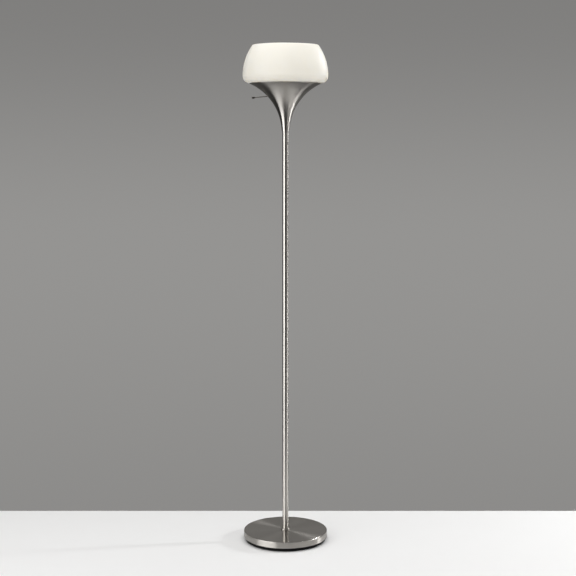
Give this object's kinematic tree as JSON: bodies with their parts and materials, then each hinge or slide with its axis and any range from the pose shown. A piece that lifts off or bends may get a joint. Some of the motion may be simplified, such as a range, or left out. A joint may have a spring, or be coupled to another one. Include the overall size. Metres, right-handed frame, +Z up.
{
  "type": "torchiere floor lamp",
  "caption": "Uplight floor lamp: opal glass shade resting on a spun metal trumpet, slim round pole, weighted round base, turn switch on a long stem.",
  "frame": {"origin": "centre of the base's underside, on the floor", "axes": "+Z up the pole; the turn switch's stem points towards -X; the cord's inlet is at +Y, behind; the front faces -Y"},
  "size_m": [0.305, 0.305, 1.7904],
  "materials": {
    "brushed_nickel": "satin brushed nickel plate",
    "black_pan": "fine moulded texture",
    "foam_rubber": "matte",
    "cast_iron": "rough casting",
    "zinc_steel": "zinc plated",
    "rubber_bush": "matte",
    "socket_brass": "plated, bright",
    "liner_board": "pressed board",
    "moulded_block": "moulded phenolic",
    "thread_aluminium": "rolled",
    "seat_silicone": "translucent satin",
    "opal_glass": "opal white, satin",
    "bulb_glass": "frosted white",
    "bulb_collar": "glossy black insulator",
    "solder": "solder",
    "lead_black": "insulation",
    "lead_white": "insulation",
    "connector_plastic": "moulded"
  },
  "bodies": {
    "stand": {"base_cover": "brushed_nickel", "base_lock_washer": "zinc_steel", "base_nipple": "zinc_steel", "base_nut": "zinc_steel", "base_pan": "black_pan", "base_washer": "zinc_steel", "base_weight": "cast_iron", "centre_contact": "socket_brass", "cord_bush": "rubber_bush", "foot_pads": "foam_rubber", "head_nipple": "zinc_steel", "lead_connectors": "connector_plastic", "live_lead": "lead_black", "neck_nut": "zinc_steel", "neck_washer": "zinc_steel", "neutral_lead": "lead_white", "pan_screws": "zinc_steel", "pole_collar": "brushed_nickel", "pole_joint_nipple_1": "zinc_steel", "pole_joint_nipple_2": "zinc_steel", "pole_section_1": "brushed_nickel", "pole_section_1_lower_plug": "zinc_steel", "pole_section_1_upper_plug": "zinc_steel", "pole_section_2": "brushed_nickel", "pole_section_2_lower_plug": "zinc_steel", "pole_section_2_upper_plug": "zinc_steel", "pole_section_3": "brushed_nickel", "pole_section_3_lower_plug": "zinc_steel", "pole_section_3_upper_plug": "zinc_steel", "screw_shell": "thread_aluminium", "shade_seat": "seat_silicone", "socket_cap": "socket_brass", "socket_liner": "liner_board", "socket_nut": "zinc_steel", "socket_shell": "socket_brass", "socket_washer": "zinc_steel", "switch_block": "moulded_block", "trumpet": "brushed_nickel"},
    "switch": {"switch_rotor": "moulded_block", "switch_stem": "brushed_nickel", "switch_knob": "brushed_nickel"},
    "shade": {"shade": "opal_glass"},
    "bulb": {"bulb_contact": "solder", "bulb_collar": "bulb_collar", "bulb_cap": "thread_aluminium", "bulb_globe": "bulb_glass"}
  },
  "joints": [
    {"name": "switch_turn", "type": "hinge", "parent": "stand", "child": "switch", "pos_m": [0, 0, 1.6195], "axis": [-0.9949, 0, -0.1011], "continuous": true},
    {"name": "shade_lift", "type": "slide", "parent": "stand", "child": "shade", "axis": [0, 0, 1], "range_m": [0, 0.15]},
    {"name": "bulb_lift", "type": "slide", "parent": "stand", "child": "bulb", "axis": [0, 0, 1], "range_m": [0, 0.16]}
  ]
}
